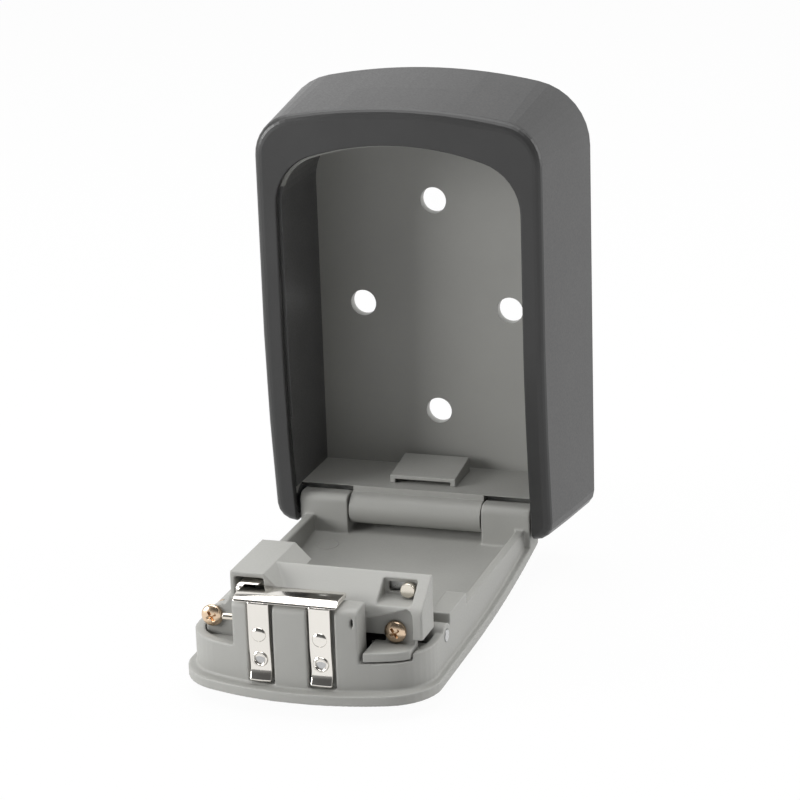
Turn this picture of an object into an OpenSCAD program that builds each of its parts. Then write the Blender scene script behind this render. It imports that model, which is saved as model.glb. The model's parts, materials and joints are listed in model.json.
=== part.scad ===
// Wall-mounted combination key safe with its door swung open.
// The origin is the centre of the four wall holes on the back face.
// The wall is the plane y = 0, the front faces -Y, and +Z is up.
// Door parts are drawn with the door shut and swung together about the hinge.
// Along the door, s is the height above the hinge axis and h the depth behind its front.

/* [Cover] */
// Width of the cover at the wall
body_w = 84; // [78:0.5:96]
// Height of the cover at the wall
body_h = 118; // [110:0.5:130]
// Depth of the cover in front of the wall
body_d = 34; // [33:0.5:40]
// Draft of each side from back to front
side_draft = 4.1; // [2:0.1:5]
// Draft of the top from back to front
top_draft = 4.2; // [2:0.1:5]
// Rise of the arched top at the wall
back_sag = 6.1; // [4:0.1:8]
// Rise of the arched top at the front
front_sag = 4.6; // [3:0.1:8]
// Top corner radius at the wall
back_corner_r = 16.7; // [10:0.1:20]
// Top corner radius at the front
front_corner_r = 11; // [8:0.1:16]
// Radius of the bottom corners
foot_r = 5; // [3:0.5:6]
// Radius of the front edge
edge_r = 2.2; // [1:0.1:2.6]
// How far the front falls back at the bottom
front_recess = 5.1; // [2:0.1:6]
// Height above the bottom at which the front starts to fall back
recess_rise = 62; // [54:0.5:68]
// Wall of the cover
cover_wall = 2.2; // [1.8:0.1:2.6]

/* [Opening] */
// Border of the cover beside the opening
frame_w = 5.6; // [5:0.1:7]
// Border of the cover above the opening
frame_top = 9.5; // [8.5:0.1:11]
// Rise of the arched opening
open_sag = 7.4; // [6:0.1:8.5]
// Corner radius of the opening
open_corner_r = 13.5; // [10:0.1:16]

/* [Case] */
// Distance of the hole pattern's centre below the cover's middle
hole_drop = 4.8; // [3:0.1:6]
// Thickness of the back plate
plate_t = 2.8; // [2:0.1:4]
// Wall of the inner case
case_wall = 1.8; // [1.4:0.1:2]
// Gap between the inner case and the cover
case_gap = 0.6; // [0.4:0.1:0.8]
// How far the front rim stands inside the opening
rim_w = 0.6; // [0.4:0.1:0.8]
// Thickness of the front rim
rim_t = 1.4; // [1:0.1:1.8]
// Thickness of the strike that holds the latch bar
strike_t = 1.8; // [1.4:0.1:2.4]
// How far the latch bar reaches behind the strike
strike_bite = 0.7; // [0.5:0.1:0.8]
// Height of the floor's top above the hinge axis
floor_rise = 5.8; // [5.5:0.1:6.5]
// Thickness of the floor
floor_t = 2.6; // [2:0.1:3]

/* [Floor clip] */
// Width of the clip
clip_w = 18; // [14:0.5:22]
// Height of the clip's front edge above the floor
clip_front_rise = 2.2; // [1.8:0.1:2.6]
// Height of the clip's back edge above the floor
clip_back_rise = 4; // [3:0.1:5]
// Thickness of the clip's plate
clip_t = 1.2; // [0.8:0.1:1.4]
// Thickness of the clip's side webs
clip_web = 1.4; // [1:0.1:2]
// Gap between the clip and the back plate
clip_gap = 3; // [2:0.1:5]

/* [Wall holes] */
// Distance between the upper and lower holes
hole_rise = 57.8; // [50:0.1:62]
// Distance between the left and right holes
hole_span = 40.6; // [34:0.1:46]
// Diameter of each hole
hole_d = 7; // [5:0.1:8]

/* [Hinge] */
// Height of the hinge axis above the cover's bottom
hinge_rise = 3.9; // [3.2:0.1:4.2]
// Distance of the hinge axis behind the cover's front
hinge_back = 10.5; // [9.5:0.1:11]
// Radius of the hinge barrel
barrel_r = 4.3; // [4:0.1:4.5]
// Length of the middle barrel
barrel_w = 36; // [30:0.5:42]
// Radius of the knuckles' inner edge
knuckle_edge_r = 2; // [1.6:0.1:2.4]
// Diameter of the hinge pin
pin_d = 3; // [2.5:0.1:3.5]
// How far the hinge pin stays inside each end of the door
pin_inset = 1; // [0.5:0.1:3]
// Angle at which the door stands open
door_angle = 90; // [0:1:90]

/* [Door] */
// How far the door's front stands in front of the cover
door_proud = 2.4; // [2:0.1:4]
// Thickness of the door's front
skin_t = 2.6; // [2.2:0.1:2.8]
// Gap between door and opening
door_gap = 0.7; // [0.5:0.1:1]
// Ledge between the door's edge and its wall
lip_w = 1.6; // [1.2:0.1:2]
// Extra ledge at the door's far end
lip_end = 1.2; // [0.8:0.1:1.6]
// Wall of the door
door_wall = 2.2; // [1.8:0.1:2.6]
// Depth of the door's wall behind its front
rim_h = 11.3; // [10.8:0.1:11.8]
// Depth of the lock block behind the door's front
block_h = 22.8; // [22.4:0.1:23]
// Thickness of the lock block along the door
block_t = 8.3; // [7.8:0.1:8.8]
// Left end of the lock block
block_left = -16.2; // [-16.6:0.1:-16]
// Right end of the lock block
block_right = 15; // [14.6:0.1:15.4]
// Radius of the lock block's inner edge
block_edge_r = 1.8; // [1:0.1:2.4]
// Length of the shoulder on the right wall
shoulder_len = 14; // [12:0.5:16]
// Width of the shoulder on the right wall
shoulder_w = 5.2; // [4.6:0.1:5.4]
// Depth of the shoulder on the right wall
shoulder_h = 14.2; // [13:0.1:15]

/* [Lock cover] */
// Depth of the ridge and of the latch channel's roof
case_top_h = 27.2; // [26.8:0.1:28]
// Wall of the lock cover
cover_t = 1.6; // [1.4:0.1:1.8]
// Distance of the ridge from the cover's end face
ridge_back = 8.8; // [8:0.1:9.4]
// Depth of the ramp's low end
ramp_low_h = 17; // [16:0.1:18]
// Angle of the sloped face
slope_angle = 35; // [33:0.5:36]
// Round between the sloped face and the end face
slope_round = 2.6; // [2:0.1:3]
// Length of the cover's head along the door
head_len = 13.6; // [13:0.1:14]
// Depth of the underside of the head
head_low_h = 13.8; // [13.4:0.1:14.2]
// Width of the latch channel's bump
bump_w = 9.6; // [9:0.1:10]
// Width of the bump's slanted flank
flank_w = 4.2; // [3:0.1:4.6]
// Depth of the screws behind the door's front
screw_h = 15; // [14.8:0.1:15.4]
// Distance of the left screw from the door's wall
screw_left_inset = 5.6; // [5:0.1:6]
// Distance of the right screw from the dials
screw_side = 3.1; // [3:0.1:3.3]
// Radius of a screw's head
screw_head_r = 2.7; // [2.2:0.1:2.8]
// Radius of a screw's shank
screw_r = 1.3; // [1:0.1:1.5]
// Depth of the pocket round the right screw
pocket_d = 2; // [1.6:0.1:2.2]
// Thickness of the screw flanges
flange_t = 2; // [1.6:0.1:2.2]

/* [Dials] */
// Radius of a dial
dial_r = 10.4; // [9.6:0.1:10.6]
// Width of a dial
dial_w = 5.8; // [5:0.1:6]
// Distance from dial to dial
dial_pitch = 7; // [6.8:0.1:7.2]
// Gap between the latch channel and the first dial
dial_gap = 0.8; // [0.6:0.1:1]
// Distance of the dial axle from the door's end wall
axle_drop = 22.9; // [22.5:0.1:23.2]
// Depth of the dial axle behind the door's front
axle_h = 9.8; // [9.6:0.1:10]
// Diameter of the dial axle
axle_d = 3; // [2.6:0.1:3.2]
// Radius of the boss that holds the axle
axle_boss_r = 3; // [2.6:0.1:3.4]
// Radius of the code sleeve in a dial
sleeve_r = 5; // [4:0.1:6]
// Radius of a dial's finger notch
notch_r = 1.2; // [0.8:0.1:1.4]

/* [Latch] */
// Thickness of the latch plate
latch_t = 1.5; // [1.2:0.1:1.6]
// Width of a latch leg
leg_w = 5.3; // [4.6:0.1:5.6]
// Middle of the left leg
leg_left_x = -8.9; // [-9.2:0.1:-8.6]
// Middle of the right leg
leg_right_x = 6.2; // [5.9:0.1:6.5]
// Depth of the legs' free ends behind the door's front
leg_low_h = 3.8; // [3.6:0.1:5]
// How far a leg's free end is turned out
leg_lip = 0.5; // [0.3:0.1:0.6]
// Outer radius of the bend between bar and legs
bend_r = 2; // [1.6:0.1:2.4]
// Width of the bar across the legs
bar_w = 25.6; // [24:0.1:26]
// Middle of the bar across the legs
bar_x = -2.35; // [-2.6:0.05:-2.1]
// Middle of the tongue that reaches back to the lever
tongue_x = -14; // [-14.2:0.1:-13.8]
// Width of the tongue
tongue_w = 5; // [4.4:0.1:5.4]
// Length of the tongue behind the lock block
tongue_len = 15.6; // [15:0.1:16]
// Length of the latch spring
spring_len = 6; // [5:0.1:6.4]
// Radius of a rivet's head
rivet_r = 1.8; // [1.4:0.1:2]
// Depth of the rivets behind the door's front
rivet_h = 15.4; // [14:0.1:16]
// Outer radius of an eyelet
eyelet_r = 2; // [1.6:0.1:2.2]
// Radius of an eyelet's hole
eyelet_hole_r = 1.2; // [0.8:0.1:1.3]
// Depth of the eyelets behind the door's front
eyelet_h = 9.2; // [8:0.1:10]
// Travel of the latch
latch_travel = 1.6; // [1.4:0.1:1.7]
// Radius of the guide pin beside the bar
guide_r = 0.8; // [0.6:0.1:1]
// Depth of the guide pin behind the door's front
guide_h = 17.6; // [17:0.1:18]

/* [Reset] */
// Radius of the reset knob's head
knob_r = 1.8; // [1.4:0.1:1.9]
// Radius of the reset knob's stem
stem_r = 0.9; // [0.7:0.05:1]
// Depth of the reset knob behind the door's front
knob_h = 23.8; // [23.6:0.1:24]
// Distance of the reset knob from the door's right wall
knob_inset = 6.6; // [6.2:0.1:7]
// Travel of the reset knob
knob_travel = 4; // [3:0.1:4.2]

/* [Front] */
// Thickness of the dial shutter
shutter_t = 1.4; // [1.2:0.1:1.6]
// Length of the dial shutter along the door
shutter_len = 22; // [18:0.5:23]
// Travel of the dial shutter
shutter_travel = 26; // [22:0.5:28]
// Width of the shutter's rails
rail_w = 1.4; // [1.2:0.1:1.6]
// Length of the opening lever's pad
lever_len = 12; // [9:0.5:14]
// Thickness of the opening lever's pad
lever_t = 2.2; // [1.8:0.1:2.4]

/* [Clearances] */
// Radial clearance of a turning shaft
shaft_clear = 0.06; // [0.03:0.01:0.1]
// Clearance between moving pieces
run_clear = 0.4; // [0.3:0.05:0.5]
// Clearance beside each dial
dial_clear = 0.3; // [0.25:0.05:0.35]

/* [Hidden] */
$fn = 64;
eps = 0.01;
far = 200;

black = [0.23, 0.23, 0.23];
zinc = [0.62, 0.62, 0.59];
chrome = [0.85, 0.84, 0.82];
brass = [0.78, 0.6, 0.38];
steel = [0.6, 0.6, 0.6];

// Heights of the cover
top_z = body_h/2 + hole_drop;
bottom_z = top_z - body_h;
recess_top_z = bottom_z + recess_rise;

// Opening
open_r = body_w/2 - side_draft - frame_w;
open_top_z = top_z - top_draft - frame_top;

// Hinge and floor
hinge_z = bottom_z + hinge_rise;
hinge_y = -(body_d - hinge_back);
floor_z = hinge_z + floor_rise;
knuckle_r = barrel_r;
knuckle_edge = knuckle_r - knuckle_edge_r;
knuckle_sweep = knuckle_edge*sqrt(2) + knuckle_edge_r + run_clear;

// Door outline
door_front_y = -(body_d + door_proud);
lip_r = open_r - door_gap;
lip_top_z = open_top_z - door_gap;
wall_r = lip_r - lip_w;
wall_top_z = lip_top_z - lip_w - lip_end;
wall_corner_r = open_corner_r - lip_w;
door_low_s = -knuckle_r;

// Places along the door
end_s = wall_top_z - hinge_z;
block_s = end_s - block_t;
flange_s = block_s - run_clear;
pocket_s = flange_s - pocket_d;
post_s = pocket_s - flange_t;
axle_s = end_s - axle_drop;
ridge_s = flange_s - ridge_back;
head_s = flange_s - head_len;
strip_t = 0.5;
strip_s = axle_s - dial_r - run_clear - strip_t;
case_low_s = strip_s - run_clear - cover_t;

// Side view of the lock cover
ramp_rise = (case_top_h - ramp_low_h)/(ridge_s - case_low_s);
slope_foot_s = flange_s - slope_round*(1 - sin(slope_angle));
slope_foot_h = case_top_h - (slope_foot_s - ridge_s)*tan(slope_angle);
end_face_h = slope_foot_h - slope_round*cos(slope_angle);

// Latch
leg_inset = 0.2;
leg_s = end_s - leg_inset;
plate_h = block_h + run_clear;
bar_left = bar_x - bar_w/2;
bar_right = bar_x + bar_w/2;
tongue_s = block_s - tongue_len;
channel_s = tongue_s - spring_len;
channel_wall = 1.2;
bump_left = tongue_x - bump_w/2;
bump_right = tongue_x + bump_w/2;
bump_low_h = 20;
lever_w = 4;
lever_stem_t = 3.2;
leg_gap_left = 0.5;
leg_gap_right = 0.9;
leg_room = 0.8;
lip_t = 1;
guide_s = end_s - block_t/2;
guide_len = 3;
post_slot_w = 0.7;
post_slot_inset = 1;
post_slot_h = 18.6;
post_slot_len = 2.2;

// Dial row
dial_count = 4;
dials_left = bump_right + dial_gap;
dials_right = dials_left + dial_pitch*(dial_count - 1) + dial_w;
axle_post_w = 2;
axle_post_r = 3.5;
boss_len = 4.4;
boss_x = wall_r - boss_len;
shoulder_s = axle_s - axle_boss_r - shoulder_len;

// Lock cover
side_room = 2.6;
case_right = dials_right + side_room + cover_t;
head_inset = 0.2;
head_side = 1.4;
head_right = wall_r - head_side;
head_chamfer = 1.8;
screw_left_x = -(wall_r - screw_left_inset);
screw_right_x = dials_right + screw_side;
screw_head_t = 1.6;
screw_len = 7;
screw_clear = 0.15;
post_r = 2.4;
post_len = 5.6;
pocket_side = 4.7;
pocket_right = screw_right_x + pocket_side;
pocket_left_rise = 3;
pocket_right_rise = 6;
pocket_tilt = 10;
pocket_r = 1.6;
ledge_t = 2.2;
ledge_top_h = screw_h - screw_head_r - run_clear/2;
ledge_gap = 0.8;
left_post_over = 1.6;
left_post_h = screw_h + left_post_over;
left_post_r = 4;
left_flange_r = 5;
left_flange_side = 1.8;
left_post_back = 8;
left_post_s = axle_s - left_post_back;
left_post_side = 2.4;
ledge_drop = 1;
flange_top_h = bump_low_h + channel_wall/2;

// Reset slide
knob_x = wall_r - knob_inset;
knob_setback = 1.2;
knob_s = ridge_s + knob_setback;
knob_t = 1.7;
knob_room = knob_r + run_clear;
slide_t = 0.8;
slide_s = knob_s - cover_t - slide_t;
slide_left = 9;
slide_right = 2;
slide_drop = 3;

// Shutter and lever on the door's front
shutter_over = 1.6;
shutter_left = dials_left - shutter_over;
shutter_right = dials_right + shutter_over;
shutter_low_s = axle_s - shutter_len/2;
shutter_h = axle_h - dial_r - run_clear - shutter_t;
rail_hook = 0.9;
rail_lip = 0.7;
lever_side = 7.4;
lever_left = tongue_x - lever_side;
lever_seat = 1;
lever_s = tongue_s + lever_seat;
grip_w = 1;
lever_back = 4;

// Points of an arc about a centre
function arc(cx, cz, r, a0, a1, n) =
    [for (i = [0:n]) let (a = a0 + (a1 - a0)*i/n) [cx + r*cos(a), cz + r*sin(a)]];

// Radius of an arch from its half width and rise
function arch_r(w, sag) = (w*w + sag*sag)/(2*sag);

// An arched outline: straight foot, straight sides, round corners and a shallow arch on top
function arched(w, zt, zb, sag, rc, rb, n = 8, sides = 1) =
    let (R = arch_r(w, sag),
         bz = zt - R,
         cz = bz + sqrt((R - rc)*(R - rc) - (w - rc)*(w - rc)),
         a = atan2(cz - bz, w - rc),
         step = (180 - 2*a)/(2*n + 1))
    concat(
        arc(w - rb, zb + rb, rb, -90, 0, n/2),
        [for (i = [1:sides - 1]) [w, zb + rb + (cz - zb - rb)*i/sides]],
        arc(w - rc, cz, rc, 0, a, n),
        arc(0, bz, R, a + step, 180 - a - step, 2*n - 1),
        arc(-(w - rc), cz, rc, 180 - a, 180, n),
        [for (i = [sides - 1:-1:1]) [-w, zb + rb + (cz - zb - rb)*i/sides]],
        arc(-(w - rb), zb + rb, rb, 180, 270, n/2));

// How far the front falls back at a height
function recess(z) = front_recess*pow(max(0, recess_top_z - z)/recess_rise, 2);

// One ring of the cover's form: share of the depth, inset of the outline, wall taken off
function ring(t, inset, wall) =
    arched(body_w/2 - side_draft*t - inset - wall, top_z - top_draft*t - inset - wall,
        bottom_z + inset + wall, back_sag + (front_sag - back_sag)*t,
        back_corner_r + (front_corner_r - back_corner_r)*t - inset - wall,
        max(foot_r - inset - wall, 0.4), sides = 12);

// Side profile of all that lies behind a front by a depth
function behind_line(front_y, depth, below = 12, n = 12) = concat(
    [for (i = [0:n])
        let (z = bottom_z - below + (recess_rise + below)*i/n)
        [front_y + depth + recess(z), z]],
    [[front_y + depth, far], [far, far], [far, bottom_z - below]]);

// Puts an outline at a share of the cover's depth
function lift(points, y0, share) = [for (p = points) [p[0], y0 - share*(body_d - recess(p[1])), p[1]]];

// Depth of the lock cover's ramp at a place along the door
function ramp_h(s) = ramp_low_h + ramp_rise*(s - case_low_s);

// Side view of the lock cover in depth and length, from a low edge on
function cover_profile(low_h, low_s) = concat(
    [[low_h, low_s], [ramp_h(low_s), low_s], [case_top_h, ridge_s]],
    [for (p = arc(flange_s - slope_round, end_face_h, slope_round, 90 - slope_angle, 0, 5)) [p[1], p[0]]],
    [[low_h, flange_s]]);

// Outer side of the latch's bend in depth and length
function bend(turn) = arc(plate_h + latch_t - bend_r, leg_s - bend_r, bend_r, 0, turn, 6);

// A closed loft through rings that have the same number of points
module loft(rings) {
    n = len(rings[0]);
    m = len(rings);
    points = [for (r = rings) for (p = r) p];
    sides = [for (j = [0:m - 2]) for (i = [0:n - 1]) for (k = [0, 1])
        let (a = j*n + i, b = j*n + (i + 1)%n)
        k == 0 ? [a, a + n, b] : [b, a + n, b + n]];
    last = (m - 1)*n;
    caps = [for (i = [0:n/2 - 2]) for (k = [0, 1])
        let (j = n - 1 - i)
        each (k == 0 ? [[i, i + 1, j], [i + 1, j - 1, j]]
                     : [[last + i, last + j, last + i + 1], [last + i + 1, last + j, last + j - 1]])];
    polyhedron(points, concat(sides, caps), convexity = 6);
}

// The cover's outer form, rounded at the front edge
module cover_form() {
    loft(concat(
        [for (t = [0, 0.5]) lift(ring(t, 0, 0), 0, t)],
        [for (a = [0:18:90]) lift(ring(1, edge_r*(1 - cos(a)), 0), edge_r*(1 - sin(a)), 1)]));
}

// The hollow of the cover
module cover_hollow() {
    loft([lift(ring(0, 0, cover_wall), eps, 0), lift(ring(1, 0, cover_wall), cover_wall, 1)]);
}

// Extrudes an outline in x and z from one depth to another
module between_y(y_front, y_back) {
    translate([0, y_back, 0])
        rotate([90, 0, 0])
            linear_extrude(y_back - y_front)
                children();
}

// Extrudes a side profile in y and z from one side to the other
module between_x(x_left, x_right) {
    translate([x_left, 0, 0])
        rotate([90, 0, 90])
            linear_extrude(x_right - x_left)
                children();
}

// Extrudes a side profile in depth and length of the shut door
module across(x_left, x_right, profile) {
    between_x(x_left, x_right)
        translate([door_front_y, hinge_z])
            polygon(profile);
}

// Extrudes an outline across and behind the shut door from one place along it to another
module along(s0, s1, outline) {
    translate([0, door_front_y, hinge_z + s0])
        linear_extrude(s1 - s0)
            polygon(outline);
}

// A box from its limits across, along and behind the shut door
module door_box(x0, x1, s0, s1, h0, h1) {
    translate([x0, door_front_y + h0, hinge_z + s0])
        cube([x1 - x0, h1 - h0, s1 - s0]);
}

// A round bar across the door
module cross_bar(x0, x1, s, h, r) {
    translate([x0, door_front_y + h, hinge_z + s])
        rotate([0, 90, 0])
            cylinder(r = r, h = x1 - x0);
}

// A round bar along the door
module long_bar(x, s0, s1, h, r) {
    translate([x, door_front_y + h, hinge_z + s0])
        cylinder(r = r, h = s1 - s0);
}

// Swings the door's pieces open about the hinge
module swung() {
    translate([0, hinge_y, hinge_z])
        rotate([door_angle, 0, 0])
            translate([0, -hinge_y, -hinge_z])
                children();
}

// A bar about the hinge axis
module hinge_bar(x0, x1, r) {
    translate([x0, hinge_y, hinge_z])
        rotate([0, 90, 0])
            cylinder(r = r, h = x1 - x0);
}

module opening_outline(grow) {
    polygon(arched(open_r + grow, open_top_z + grow, bottom_z - 10, open_sag, open_corner_r + grow, 1));
}

module lip_outline(inset, drop) {
    polygon(arched(lip_r - inset, lip_top_z - inset - drop, hinge_z + door_low_s,
        open_sag, open_corner_r - inset, 1));
}

// All of the door that lies inside its outline by an inset, from one depth to another
module door_slab(inset, h0, h1) {
    between_y(door_front_y + h0, door_front_y + h1)
        lip_outline(inset, lip_end);
}

// Round wire wound into a spring along z
module coil(length, coil_r, wire_r, turns) {
    n = 8*turns;
    loft([for (i = [0:n])
        let (a = 45*i, z = wire_r + (length - 2*wire_r)*i/n)
        [for (k = [0:5])
            let (b = 60*k, r = coil_r + wire_r*cos(b))
            [r*cos(a), r*sin(a), z - wire_r*sin(b)]]]);
}

module outer_cover() {
    color(black)
        difference() {
            cover_form();
            cover_hollow();
            between_y(-far, hinge_y + knuckle_sweep)
                opening_outline(0);
        }
}

module wall_holes() {
    for (p = [[0, hole_rise/2], [0, -hole_rise/2], [hole_span/2, 0], [-hole_span/2, 0]])
        translate([p[0], 1, p[1]])
            rotate([90, 0, 0])
                cylinder(d = hole_d, h = plate_t + 2);
}

// Grey casting: back plate, walls behind the opening, front rim, strike, floor and hinge barrel
module inner_case() {
    color(zinc)
        difference() {
            union() {
                between_y(-plate_t, 0)
                    polygon(arched(body_w/2 - cover_wall - case_gap, top_z - cover_wall - case_gap,
                        bottom_z + cover_wall + case_gap, back_sag, back_corner_r - cover_wall,
                        foot_r - cover_wall));
                case_walls();
                strike();
                translate([-open_r, hinge_y, floor_z - floor_t])
                    cube([2*open_r, -hinge_y - plate_t + eps, floor_t]);
                hinge_bar(-barrel_w/2, barrel_w/2, barrel_r);
                translate([-open_r, hinge_y, hinge_z])
                    cube([2*open_r, knuckle_sweep + floor_t/2, floor_rise - floor_t/2]);
            }
            wall_holes();
            hinge_bar(-far, far, pin_d/2);
            hinge_bar(-far, -barrel_w/2, knuckle_sweep);
            hinge_bar(barrel_w/2, far, knuckle_sweep);
        }
}

// Walls behind the opening with the rim inside it
module case_walls() {
    rim_y = -(body_d - cover_wall - run_clear);
    intersection() {
        difference() {
            between_y(rim_y, -plate_t + eps)
                opening_outline(case_wall);
            between_y(rim_y + rim_t, -plate_t)
                opening_outline(0);
            between_y(-far, 0)
                opening_outline(-rim_w);
        }
        translate([-far/2, -far, floor_z - floor_t])
            cube([far, far, far]);
        between_x(-far/2, far/2)
            polygon(behind_line(-body_d, cover_wall + run_clear));
    }
}

// Ledge under the roof that holds the latch bar, with gaps for the legs
module strike() {
    strike_y = door_front_y + plate_h - run_clear;
    strike_z = hinge_z + leg_s + latch_travel - strike_bite;
    difference() {
        intersection() {
            between_y(strike_y - strike_t, strike_y)
                opening_outline(case_wall/2);
            translate([bar_left, -far, strike_z])
                cube([bar_w, far, far]);
        }
        for (x = [leg_left_x, leg_right_x])
            door_box(x - leg_w/2 - leg_room, x + leg_w/2 + leg_room, 0, leg_s + latch_travel + leg_room,
                0, far);
    }
}

module hinge_pin() {
    color(steel)
        hinge_bar(-(lip_r - pin_inset), lip_r - pin_inset, pin_d/2);
}

// Tilted plate on the floor with two side webs
module floor_clip() {
    clip_front = hinge_y + barrel_r;
    clip_back = -plate_t - clip_gap;
    color(zinc)
        difference() {
            between_x(-clip_w/2, clip_w/2)
                polygon([[clip_front, floor_z], [clip_front, floor_z + clip_front_rise],
                    [clip_back, floor_z + clip_back_rise], [clip_back, floor_z]]);
            between_x(-clip_w/2 + clip_web, clip_w/2 - clip_web)
                polygon([[clip_front - 1, floor_z - 1], [clip_front - 1, floor_z + clip_front_rise - clip_t],
                    [clip_back - clip_web, floor_z + clip_back_rise - clip_t],
                    [clip_back - clip_web, floor_z - 1]]);
        }
}

// All that lies behind the door's front by a depth
module behind_front(depth) {
    between_x(-far/2, far/2)
        polygon(behind_line(door_front_y, depth));
}

module door_shell() {
    color(zinc)
        swung()
            difference() {
                union() {
                    door_skin();
                    door_rim();
                    end_block();
                    knuckles();
                    lock_posts();
                    right_shoulder();
                    shutter_rails();
                }
                hinge_bar(-far, far, pin_d/2 + shaft_clear);
                dial_windows();
                lever_slot();
                leg_slots();
                // Low part of the end wall under the lock cover's ledge
                door_box(block_right, pocket_right + run_clear, post_s, far,
                    ledge_top_h - ledge_t - run_clear, far);
                cross_bar(dials_left - run_clear - axle_post_w - 1, far, axle_s, axle_h, axle_d/2);
                cross_bar(block_left - 1, block_left + guide_len, guide_s, guide_h, guide_r);
                for (x = [screw_left_x, screw_right_x])
                    long_bar(x, pocket_s - screw_len, far, screw_h, screw_r);
            }
}

// The front itself, arched in outline and curved in side view
module door_skin() {
    difference() {
        intersection() {
            between_y(-far, 0)
                lip_outline(0, 0);
            behind_front(0);
        }
        behind_front(skin_t);
    }
}

// Wall round the door's edge
module door_rim() {
    intersection() {
        between_y(-far, door_front_y + rim_h)
            difference() {
                lip_outline(lip_w, lip_end);
                polygon(arched(wall_r - door_wall, wall_top_z - door_wall, hinge_z - far/2, open_sag,
                    wall_corner_r - door_wall, 1));
            }
        behind_front(skin_t/2);
        door_box(-far, far, knuckle_r - 1, far, -far, far);
    }
}

// Upright block at the far end that carries the latch legs, rounded along its inner edge
module end_block() {
    r = arch_r(wall_r, open_sag) - eps;
    difference() {
        intersection() {
            door_box(block_left, block_right, block_s, far, skin_t/2, far);
            translate([0, door_front_y, wall_top_z - r - eps])
                rotate([-90, 0, 0])
                    rotate_extrude($fn = 240)
                        polygon(concat([[0, 0], [r, 0]],
                            arc(r - block_edge_r, block_h - block_edge_r, block_edge_r, 0, 90, 5),
                            [[0, block_h]]));
        }
        // Small slot in the right post
        door_box(block_right - post_slot_inset - post_slot_w, block_right - post_slot_inset,
            end_s - block_t/2, far, post_slot_h, post_slot_h + post_slot_len);
    }
}

// Two blocks that turn on the hinge pin
module knuckles() {
    outline = concat(arc(hinge_y, hinge_z, knuckle_r, -90, 0, 6),
        arc(hinge_y + knuckle_edge, hinge_z + knuckle_edge, knuckle_edge_r, 0, 90, 4),
        [[-far, hinge_z + knuckle_r], [-far, hinge_z - knuckle_r]]);
    for (side = [0, 1])
        mirror([side, 0, 0])
            intersection() {
                between_x(barrel_w/2 + run_clear, lip_r)
                    polygon(outline);
                behind_front(skin_t/2);
            }
}

// Posts that hold the screws and the dial axle, with the shelf beside the left one
module lock_posts() {
    left_x = screw_left_x - left_post_side;
    door_box(screw_right_x - post_r, screw_right_x + post_r, post_s - run_clear - post_len,
        post_s - run_clear, skin_t/2, screw_h + post_r);
    along(left_post_s, post_s - run_clear,
        concat([[bump_left - run_clear, skin_t/2], [bump_left - run_clear, left_post_h]],
            arc(left_x + left_post_r, left_post_h - left_post_r, left_post_r, 90, 180, 5),
            [[left_x, skin_t/2]]));
    intersection() {
        door_slab(lip_w, skin_t/2, rim_h - ledge_drop);
        door_box(left_x, block_left - ledge_gap, pocket_s + run_clear, far, 0, far);
    }
    door_box(dials_left - run_clear - axle_post_w, dials_left - run_clear, axle_s - axle_post_r,
        axle_s + axle_post_r, skin_t/2, axle_h + axle_boss_r);
    cross_bar(boss_x, wall_r, axle_s, axle_h, axle_boss_r);
}

// Shoulder on the right wall beside the lock
module right_shoulder() {
    door_box(wall_r - shoulder_w, wall_r, shoulder_s, shoulder_s + shoulder_len, skin_t/2, shoulder_h);
}

// Two rails on the front that guide the shutter
module shutter_rails() {
    middle = (shutter_left + shutter_right)/2;
    half = (shutter_right - shutter_left)/2 + run_clear;
    hook_h = shutter_h - run_clear;
    translate([middle, 0, 0])
        for (side = [0, 1])
            mirror([side, 0, 0]) {
                door_box(half, half + rail_w, shutter_low_s - shutter_travel, shutter_low_s + shutter_len,
                    hook_h, skin_t/2);
                door_box(half - rail_hook, half + rail_w, shutter_low_s - shutter_travel,
                    shutter_low_s + shutter_len, hook_h - rail_lip, hook_h);
            }
}

module dial_windows() {
    for (i = [0:dial_count - 1])
        cross_bar(dials_left + dial_pitch*i - dial_clear, dials_left + dial_pitch*i + dial_w + dial_clear,
            axle_s, axle_h, dial_r + run_clear);
}

module lever_slot() {
    door_box(tongue_x - lever_w/2 - run_clear, tongue_x + lever_w/2 + run_clear, lever_s - run_clear,
        lever_s + lever_stem_t + latch_travel + run_clear, -1, skin_t + 1);
}

// Slots in the end block for the latch legs
module leg_slots() {
    for (x = [leg_left_x, leg_right_x])
        door_box(x - leg_w/2 - leg_gap_left, x + leg_w/2 + leg_gap_right, leg_s - latch_t - leg_room, far,
            leg_low_h - leg_room, far);
}

// Cap over the dials: ramp, sloped head, latch channel, screw flanges and the reset knob's pocket
module lock_cover() {
    color(zinc)
        swung()
            difference() {
                union() {
                    difference() {
                        cover_body();
                        dial_room();
                    }
                    knob_block();
                    right_ledge();
                }
                // Channel that the latch tongue slides in
                door_box(bump_left + channel_wall, bump_right - channel_wall, channel_s, far, 0,
                    case_top_h - channel_wall);
                screw_pocket();
                knob_cuts();
                for (x = [screw_left_x, screw_right_x])
                    long_bar(x, post_s - 1, far, screw_h, screw_r + screw_clear);
            }
}

module cover_body() {
    across(bump_right - channel_wall, case_right, cover_profile(head_low_h, case_low_s));
    door_box(bump_right - channel_wall, case_right, case_low_s, case_low_s + cover_t,
        skin_t + run_clear, ramp_low_h);
    cover_head();
    along(channel_s - channel_wall, flange_s, [[bump_left, bump_low_h], [bump_left, case_top_h],
        [bump_right - flank_w/4, case_top_h], [bump_right + flank_w*3/4, case_top_h - flank_w],
        [bump_right - channel_wall, case_top_h - flank_w], [bump_right - channel_wall, bump_low_h]]);
    left_flange();
}

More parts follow.
